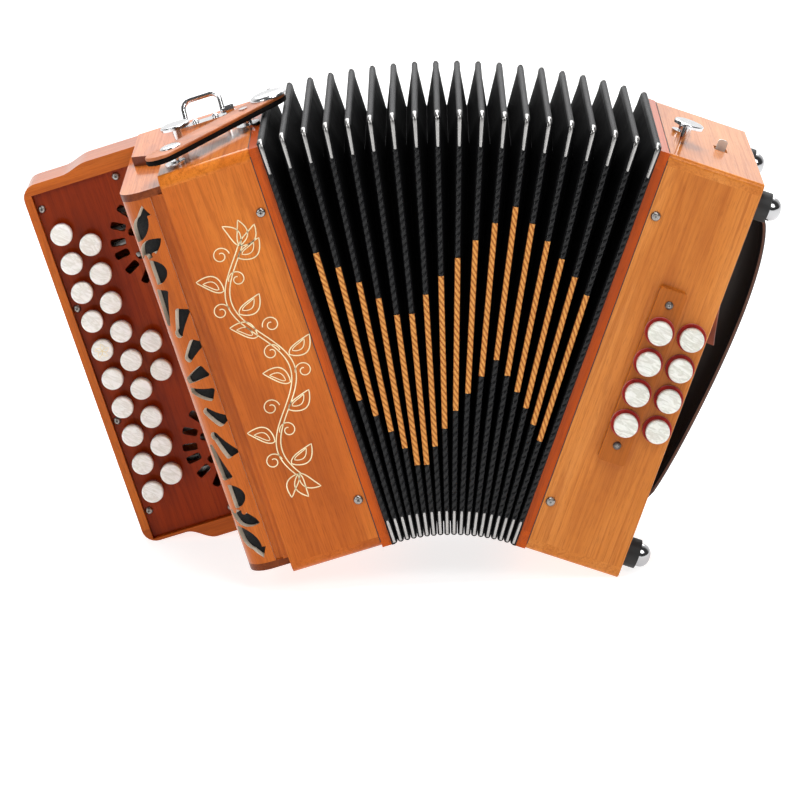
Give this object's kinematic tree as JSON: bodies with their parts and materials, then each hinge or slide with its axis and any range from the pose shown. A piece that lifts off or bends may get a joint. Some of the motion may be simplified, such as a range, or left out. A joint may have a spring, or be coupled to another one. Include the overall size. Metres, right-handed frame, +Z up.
{
  "type": "button accordion",
  "caption": "Diatonic button accordion in lacquered cherry with fanned black bellows, a fretwork pallet cover, pearl buttons, a hand strap and strap loops.",
  "frame": {"origin": "on the floor under the middle of the bounding box, with the bellows fanned open", "axes": "+Z up, +X towards the bass side, -Y towards the listener, who sees the front panels"},
  "size_m": [0.508, 0.1838, 0.3279],
  "materials": {
    "cherry": "satin lacquer",
    "frame_cherry": "satin lacquer",
    "grille_cherry": "satin lacquer",
    "plate_cherry": "satin lacquer",
    "spruce": "bare",
    "reed_wood": "bare",
    "steel": "turned",
    "chrome": "polished",
    "pearl_buttons": "pearl",
    "bass_pearl": "pearl",
    "bellows_board": "cloth covered",
    "tan_leather": "smooth",
    "brown_leather": "smooth",
    "rubber": "matt",
    "bellows_cloth": "embossed tape",
    "amber_braid": "braided",
    "felt_red": "felt",
    "gold_line": "gilt inlay",
    "grille_cloth": "woven",
    "cap_brown": "satin lacquer",
    "strap_suede": "suede"
  },
  "bodies": {
    "treble_side": {"treble_case": "cherry", "treble_bellows_frame": "frame_cherry", "treble_grille": "grille_cherry", "keyboard_box": "cherry", "keyboard_plate": "plate_cherry", "treble_sound_board": "spruce", "treble_axle_and_screws": "steel", "treble_reed_blocks": "reed_wood", "strap_brackets": "chrome"},
    "fold_1": {"bellows_fold_pair_1": "bellows_board"},
    "fold_2": {"bellows_fold_pair_2": "bellows_board"},
    "fold_3": {"bellows_fold_pair_3": "bellows_board"},
    "fold_4": {"bellows_fold_pair_4": "bellows_board"},
    "fold_5": {"bellows_fold_pair_5": "bellows_board"},
    "fold_6": {"bellows_fold_pair_6": "bellows_board"},
    "fold_7": {"bellows_fold_pair_7": "bellows_board"},
    "fold_8": {"bellows_fold_pair_8": "bellows_board"},
    "bass_side": {"bass_bellows_frame": "frame_cherry", "bass_case": "cherry", "bass_button_rail": "cherry", "bass_sound_board": "spruce", "bass_reed_blocks": "reed_wood", "bass_pallets": "spruce", "hand_strap": "brown_leather", "bass_feet": "rubber", "bass_screws": "chrome"},
    "upper_strap_loop_body": {"upper_strap_loop": "chrome"},
    "lower_strap_loop_body": {"lower_strap_loop": "chrome"},
    "bellows_strap_body": {"bellows_strap": "tan_leather"},
    "air_button_body": {"air_button": "bass_pearl"},
    "thirds_stop_body": {"thirds_stop": "chrome"},
    "treble_key_outer_01_body": {"treble_key_outer_01": "pearl_buttons"},
    "treble_key_outer_02_body": {"treble_key_outer_02": "pearl_buttons"},
    "treble_key_outer_03_body": {"treble_key_outer_03": "pearl_buttons"},
    "treble_key_outer_04_body": {"treble_key_outer_04": "pearl_buttons"},
    "treble_key_outer_05_body": {"treble_key_outer_05": "pearl_buttons"},
    "treble_key_outer_06_body": {"treble_key_outer_06": "pearl_buttons"},
    "treble_key_outer_07_body": {"treble_key_outer_07": "pearl_buttons"},
    "treble_key_outer_08_body": {"treble_key_outer_08": "pearl_buttons"},
    "treble_key_outer_09_body": {"treble_key_outer_09": "pearl_buttons"},
    "treble_key_outer_10_body": {"treble_key_outer_10": "pearl_buttons"},
    "treble_key_inner_1_body": {"treble_key_inner_1": "pearl_buttons"},
    "treble_key_inner_2_body": {"treble_key_inner_2": "pearl_buttons"},
    "treble_key_inner_3_body": {"treble_key_inner_3": "pearl_buttons"},
    "treble_key_inner_4_body": {"treble_key_inner_4": "pearl_buttons"},
    "treble_key_inner_5_body": {"treble_key_inner_5": "pearl_buttons"},
    "treble_key_inner_6_body": {"treble_key_inner_6": "pearl_buttons"},
    "treble_key_inner_7_body": {"treble_key_inner_7": "pearl_buttons"},
    "treble_key_inner_8_body": {"treble_key_inner_8": "pearl_buttons"},
    "treble_key_inner_9_body": {"treble_key_inner_9": "pearl_buttons"},
    "treble_key_third_1_body": {"treble_key_third_1": "pearl_buttons"},
    "treble_key_third_2_body": {"treble_key_third_2": "pearl_buttons"},
    "bass_button_inner_1_body": {"bass_button_inner_1": "bass_pearl"},
    "bass_button_inner_2_body": {"bass_button_inner_2": "bass_pearl"},
    "bass_button_inner_3_body": {"bass_button_inner_3": "bass_pearl"},
    "bass_button_inner_4_body": {"bass_button_inner_4": "bass_pearl"},
    "bass_button_outer_1_body": {"bass_button_outer_1": "bass_pearl"},
    "bass_button_outer_2_body": {"bass_button_outer_2": "bass_pearl"},
    "bass_button_outer_3_body": {"bass_button_outer_3": "bass_pearl"},
    "bass_button_outer_4_body": {"bass_button_outer_4": "bass_pearl"}
  },
  "joints": [
    {"name": "bellows_fan", "type": "hinge", "parent": "treble_side", "child": "fold_1", "pos_m": [-0.00659, 0.0026, 0.03377], "axis": [0, 1, 0], "range_deg": [-4.05, 2]},
    {"name": "bellows_fan_2", "type": "hinge", "parent": "fold_1", "child": "fold_2", "pos_m": [0.00207, 0.0026, 0.03538], "axis": [0, 1, 0], "range_deg": [-4.05, 2]},
    {"name": "bellows_fan_3", "type": "hinge", "parent": "fold_2", "child": "fold_3", "pos_m": [0.01081, 0.0026, 0.03637], "axis": [0, 1, 0], "range_deg": [-4.05, 2]},
    {"name": "bellows_fan_4", "type": "hinge", "parent": "fold_3", "child": "fold_4", "pos_m": [0.0196, 0.0026, 0.03673], "axis": [0, 1, 0], "range_deg": [-4.05, 2]},
    {"name": "bellows_fan_5", "type": "hinge", "parent": "fold_4", "child": "fold_5", "pos_m": [0.0284, 0.0026, 0.03648], "axis": [0, 1, 0], "range_deg": [-4.05, 2]},
    {"name": "bellows_fan_6", "type": "hinge", "parent": "fold_5", "child": "fold_6", "pos_m": [0.03716, 0.0026, 0.0356], "axis": [0, 1, 0], "range_deg": [-4.05, 2]},
    {"name": "bellows_fan_7", "type": "hinge", "parent": "fold_6", "child": "fold_7", "pos_m": [0.04583, 0.0026, 0.03411], "axis": [0, 1, 0], "range_deg": [-4.05, 2]},
    {"name": "bellows_fan_8", "type": "hinge", "parent": "fold_7", "child": "fold_8", "pos_m": [0.05437, 0.0026, 0.03201], "axis": [0, 1, 0], "range_deg": [-4.05, 2]},
    {"name": "bellows_fan_9", "type": "hinge", "parent": "fold_8", "child": "bass_side", "pos_m": [0.06275, 0.0026, 0.02931], "axis": [0, 1, 0], "range_deg": [-4.05, 2]},
    {"name": "upper_loop_swing", "type": "hinge", "parent": "treble_side", "child": "upper_strap_loop_body", "pos_m": [-0.12635, 0.0521, 0.30145], "axis": [0.9679, 0, 0.2515], "range_deg": [-50, 105]},
    {"name": "lower_loop_swing", "type": "hinge", "parent": "treble_side", "child": "lower_strap_loop_body", "pos_m": [-0.06117, 0.0883, 0.05058], "axis": [0.9679, 0, 0.2515], "range_deg": [0, 170]},
    {"name": "bellows_strap_swing", "type": "hinge", "parent": "treble_side", "child": "bellows_strap_body", "pos_m": [-0.0955, -0.0079, 0.31391], "axis": [-0.2515, 0, 0.9679], "range_deg": [0, 60]},
    {"name": "thirds_stop_slide", "type": "slide", "parent": "bass_side", "child": "thirds_stop_body", "axis": [0, 1, 0], "range_m": [-0.0048, 0.0048]},
    {"name": "air_button_press", "type": "slide", "parent": "bass_side", "child": "air_button_body", "axis": [-0.9276, 0, 0.3735], "range_m": [0, 0.005], "stiffness_N_per_m": 300, "springref_m": -0.004},
    {"name": "treble_key_outer_01_press", "type": "hinge", "parent": "treble_side", "child": "treble_key_outer_01_body", "pos_m": [-0.15501, 0.0696, 0.24472], "axis": [0.2515, 0, -0.9679], "range_deg": [0, 3], "stiffness_Nm_per_rad": 0.5, "springref_deg": -5.73},
    {"name": "treble_key_outer_02_press", "type": "hinge", "parent": "treble_side", "child": "treble_key_outer_02_body", "pos_m": [-0.14958, 0.0696, 0.22385], "axis": [0.2515, 0, -0.9679], "range_deg": [0, 3], "stiffness_Nm_per_rad": 0.5, "springref_deg": -5.73},
    {"name": "treble_key_outer_03_press", "type": "hinge", "parent": "treble_side", "child": "treble_key_outer_03_body", "pos_m": [-0.14416, 0.0696, 0.20297], "axis": [0.2515, 0, -0.9679], "range_deg": [0, 3], "stiffness_Nm_per_rad": 0.5, "springref_deg": -5.73},
    {"name": "treble_key_outer_04_press", "type": "hinge", "parent": "treble_side", "child": "treble_key_outer_04_body", "pos_m": [-0.13873, 0.0696, 0.18209], "axis": [0.2515, 0, -0.9679], "range_deg": [0, 3], "stiffness_Nm_per_rad": 0.5, "springref_deg": -5.73},
    {"name": "treble_key_outer_05_press", "type": "hinge", "parent": "treble_side", "child": "treble_key_outer_05_body", "pos_m": [-0.13331, 0.0696, 0.16122], "axis": [0.2515, 0, -0.9679], "range_deg": [0, 3], "stiffness_Nm_per_rad": 0.5, "springref_deg": -5.73},
    {"name": "treble_key_outer_06_press", "type": "hinge", "parent": "treble_side", "child": "treble_key_outer_06_body", "pos_m": [-0.12789, 0.0696, 0.14034], "axis": [0.2515, 0, -0.9679], "range_deg": [0, 3], "stiffness_Nm_per_rad": 0.5, "springref_deg": -5.73},
    {"name": "treble_key_outer_07_press", "type": "hinge", "parent": "treble_side", "child": "treble_key_outer_07_body", "pos_m": [-0.12246, 0.0696, 0.11946], "axis": [0.2515, 0, -0.9679], "range_deg": [0, 3], "stiffness_Nm_per_rad": 0.5, "springref_deg": -5.73},
    {"name": "treble_key_outer_08_press", "type": "hinge", "parent": "treble_side", "child": "treble_key_outer_08_body", "pos_m": [-0.11704, 0.0696, 0.09859], "axis": [0.2515, 0, -0.9679], "range_deg": [0, 3], "stiffness_Nm_per_rad": 0.5, "springref_deg": -5.73},
    {"name": "treble_key_outer_09_press", "type": "hinge", "parent": "treble_side", "child": "treble_key_outer_09_body", "pos_m": [-0.11161, 0.0696, 0.07771], "axis": [0.2515, 0, -0.9679], "range_deg": [0, 3], "stiffness_Nm_per_rad": 0.5, "springref_deg": -5.73},
    {"name": "treble_key_outer_10_press", "type": "hinge", "parent": "treble_side", "child": "treble_key_outer_10_body", "pos_m": [-0.10619, 0.0696, 0.05683], "axis": [0.2515, 0, -0.9679], "range_deg": [0, 3], "stiffness_Nm_per_rad": 0.5, "springref_deg": -5.73},
    {"name": "treble_key_inner_1_press", "type": "hinge", "parent": "treble_side", "child": "treble_key_inner_1_body", "pos_m": [-0.15179, 0.0696, 0.23234], "axis": [0.2515, 0, -0.9679], "range_deg": [0, 3.9], "stiffness_Nm_per_rad": 0.5, "springref_deg": -5.73},
    {"name": "treble_key_inner_2_press", "type": "hinge", "parent": "treble_side", "child": "treble_key_inner_2_body", "pos_m": [-0.14636, 0.0696, 0.21146], "axis": [0.2515, 0, -0.9679], "range_deg": [0, 3.9], "stiffness_Nm_per_rad": 0.5, "springref_deg": -5.73},
    {"name": "treble_key_inner_3_press", "type": "hinge", "parent": "treble_side", "child": "treble_key_inner_3_body", "pos_m": [-0.14094, 0.0696, 0.19058], "axis": [0.2515, 0, -0.9679], "range_deg": [0, 3.9], "stiffness_Nm_per_rad": 0.5, "springref_deg": -5.73},
    {"name": "treble_key_inner_4_press", "type": "hinge", "parent": "treble_side", "child": "treble_key_inner_4_body", "pos_m": [-0.13552, 0.0696, 0.1697], "axis": [0.2515, 0, -0.9679], "range_deg": [0, 3.9], "stiffness_Nm_per_rad": 0.5, "springref_deg": -5.73},
    {"name": "treble_key_inner_5_press", "type": "hinge", "parent": "treble_side", "child": "treble_key_inner_5_body", "pos_m": [-0.13009, 0.0696, 0.14883], "axis": [0.2515, 0, -0.9679], "range_deg": [0, 3.9], "stiffness_Nm_per_rad": 0.5, "springref_deg": -5.73},
    {"name": "treble_key_inner_6_press", "type": "hinge", "parent": "treble_side", "child": "treble_key_inner_6_body", "pos_m": [-0.12467, 0.0696, 0.12795], "axis": [0.2515, 0, -0.9679], "range_deg": [0, 3.9], "stiffness_Nm_per_rad": 0.5, "springref_deg": -5.73},
    {"name": "treble_key_inner_7_press", "type": "hinge", "parent": "treble_side", "child": "treble_key_inner_7_body", "pos_m": [-0.11924, 0.0696, 0.10708], "axis": [0.2515, 0, -0.9679], "range_deg": [0, 3.9], "stiffness_Nm_per_rad": 0.5, "springref_deg": -5.73},
    {"name": "treble_key_inner_8_press", "type": "hinge", "parent": "treble_side", "child": "treble_key_inner_8_body", "pos_m": [-0.11382, 0.0696, 0.0862], "axis": [0.2515, 0, -0.9679], "range_deg": [0, 3.9], "stiffness_Nm_per_rad": 0.5, "springref_deg": -5.73},
    {"name": "treble_key_inner_9_press", "type": "hinge", "parent": "treble_side", "child": "treble_key_inner_9_body", "pos_m": [-0.10839, 0.0696, 0.06532], "axis": [0.2515, 0, -0.9679], "range_deg": [0, 3.9], "stiffness_Nm_per_rad": 0.5, "springref_deg": -5.73},
    {"name": "treble_key_third_1_press", "type": "hinge", "parent": "treble_side", "child": "treble_key_third_1_body", "pos_m": [-0.1323, 0.0696, 0.15733], "axis": [0.2515, 0, -0.9679], "range_deg": [0, 4.4], "stiffness_Nm_per_rad": 0.5, "springref_deg": -5.73},
    {"name": "treble_key_third_2_press", "type": "hinge", "parent": "treble_side", "child": "treble_key_third_2_body", "pos_m": [-0.12687, 0.0696, 0.13645], "axis": [0.2515, 0, -0.9679], "range_deg": [0, 4.4], "stiffness_Nm_per_rad": 0.5, "springref_deg": -5.73},
    {"name": "bass_button_inner_1_press", "type": "slide", "parent": "bass_side", "child": "bass_button_inner_1_body", "axis": [0, 1, 0], "range_m": [0, 0.0035], "stiffness_N_per_m": 300, "springref_m": -0.003},
    {"name": "bass_button_inner_2_press", "type": "slide", "parent": "bass_side", "child": "bass_button_inner_2_body", "axis": [0, 1, 0], "range_m": [0, 0.0035], "stiffness_N_per_m": 300, "springref_m": -0.003},
    {"name": "bass_button_inner_3_press", "type": "slide", "parent": "bass_side", "child": "bass_button_inner_3_body", "axis": [0, 1, 0], "range_m": [0, 0.0035], "stiffness_N_per_m": 300, "springref_m": -0.003},
    {"name": "bass_button_inner_4_press", "type": "slide", "parent": "bass_side", "child": "bass_button_inner_4_body", "axis": [0, 1, 0], "range_m": [0, 0.0035], "stiffness_N_per_m": 300, "springref_m": -0.003},
    {"name": "bass_button_outer_1_press", "type": "slide", "parent": "bass_side", "child": "bass_button_outer_1_body", "axis": [0, 1, 0], "range_m": [0, 0.0035], "stiffness_N_per_m": 300, "springref_m": -0.003},
    {"name": "bass_button_outer_2_press", "type": "slide", "parent": "bass_side", "child": "bass_button_outer_2_body", "axis": [0, 1, 0], "range_m": [0, 0.0035], "stiffness_N_per_m": 300, "springref_m": -0.003},
    {"name": "bass_button_outer_3_press", "type": "slide", "parent": "bass_side", "child": "bass_button_outer_3_body", "axis": [0, 1, 0], "range_m": [0, 0.0035], "stiffness_N_per_m": 300, "springref_m": -0.003},
    {"name": "bass_button_outer_4_press", "type": "slide", "parent": "bass_side", "child": "bass_button_outer_4_body", "axis": [0, 1, 0], "range_m": [0, 0.0035], "stiffness_N_per_m": 300, "springref_m": -0.003}
  ],
  "couplings": [
    {"joint": "bellows_fan_2", "follows": "bellows_fan", "ratio": 1},
    {"joint": "bellows_fan_3", "follows": "bellows_fan", "ratio": 1},
    {"joint": "bellows_fan_4", "follows": "bellows_fan", "ratio": 1},
    {"joint": "bellows_fan_5", "follows": "bellows_fan", "ratio": 1},
    {"joint": "bellows_fan_6", "follows": "bellows_fan", "ratio": 1},
    {"joint": "bellows_fan_7", "follows": "bellows_fan", "ratio": 1},
    {"joint": "bellows_fan_8", "follows": "bellows_fan", "ratio": 1},
    {"joint": "bellows_fan_9", "follows": "bellows_fan", "ratio": 1}
  ]
}
